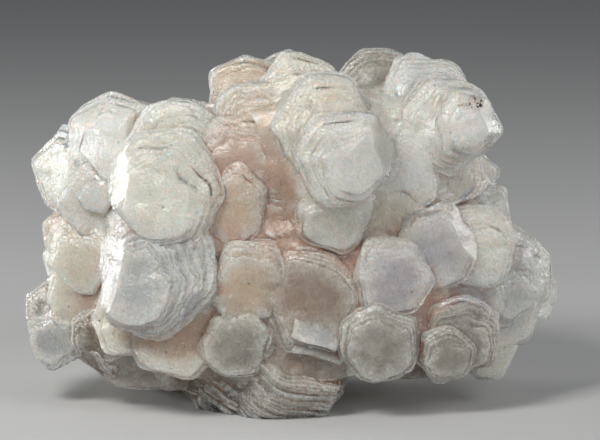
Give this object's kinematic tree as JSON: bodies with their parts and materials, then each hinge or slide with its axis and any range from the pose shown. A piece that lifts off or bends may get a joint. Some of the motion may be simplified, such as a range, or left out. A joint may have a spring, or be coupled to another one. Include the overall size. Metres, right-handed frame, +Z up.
{
  "type": "manganoan calcite specimen",
  "caption": "Free-standing cluster of pale pink and white manganoan calcite: overlapping stacks of thin rounded plates on a flat broken foot.",
  "frame": {"origin": "middle of the footprint's bounding box, on the surface that the cluster stands on", "axes": "+X to the right along the cluster's longest side as seen from its front, +Y to the back, +Z up"},
  "size_m": [0.109, 0.0597, 0.0728],
  "materials": {
    "calcite": "milky translucent calcite, glossy on fresh faces and sugary on stepped plate edges, white outside and salmon pink in the hollows, with tiny dark sulfide grains"
  },
  "bodies": {
    "root": {"calcite_cluster": "calcite"}
  },
  "joints": []
}
